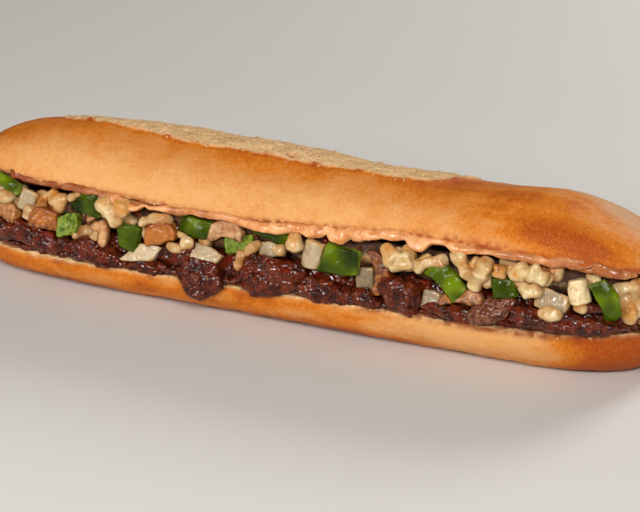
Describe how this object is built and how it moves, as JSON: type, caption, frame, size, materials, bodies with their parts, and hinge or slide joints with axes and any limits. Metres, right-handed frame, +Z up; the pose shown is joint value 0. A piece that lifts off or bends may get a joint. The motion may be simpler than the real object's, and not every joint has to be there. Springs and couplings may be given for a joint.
{
  "type": "submarine sandwich",
  "caption": "Long soft roll, hinge-cut and opened at the front, filled with glazed steak slices, melted cheese, green pepper, onion and mushroom, with sauce under the lid.",
  "frame": {"origin": "centre of the whole sandwich's box, on the surface it lies on", "axes": "+X along the roll, to the right when its open side is seen from the front; -Y towards the open side; +Z up"},
  "size_m": [0.3, 0.0828, 0.0633],
  "materials": {
    "crust": "soft baked crust, golden with browner patches and a pale floury strip along the top",
    "sauce": "glossy pinkish-brown spread",
    "steak": "dark browned meat under a wet reddish glaze",
    "cheese": "melted cream-white cheese with browned spots",
    "pepper": "glossy green skin over paler flesh",
    "onion": "wet, half translucent cooked onion",
    "mushroom": "cooked tan flesh with orange-brown skin"
  },
  "bodies": {
    "root": {"roll": "crust", "sauce": "sauce", "cheese": "cheese", "steak_bed": "steak", "mushroom_stem": "mushroom", "steak_1": "steak", "steak_2": "steak", "steak_3": "steak", "steak_4": "steak", "steak_5": "steak", "steak_6": "steak", "steak_7": "steak", "steak_8": "steak", "steak_9": "steak", "steak_10": "steak", "steak_11": "steak", "steak_12": "steak", "steak_13": "steak", "steak_14": "steak", "pepper_1": "pepper", "pepper_2": "pepper", "pepper_3": "pepper", "pepper_4": "pepper", "pepper_5": "pepper", "pepper_6": "pepper", "pepper_7": "pepper", "pepper_8": "pepper", "pepper_9": "pepper", "pepper_10": "pepper", "pepper_11": "pepper", "pepper_12": "pepper", "onion_1": "onion", "onion_2": "onion", "onion_3": "onion", "onion_4": "onion", "onion_5": "onion", "onion_6": "onion", "onion_7": "onion", "onion_8": "onion", "onion_9": "onion", "onion_10": "onion", "mushroom_1": "mushroom", "mushroom_2": "mushroom", "mushroom_3": "mushroom", "mushroom_4": "mushroom", "mushroom_5": "mushroom", "mushroom_6": "mushroom", "mushroom_7": "mushroom", "mushroom_8": "mushroom"}
  },
  "joints": []
}
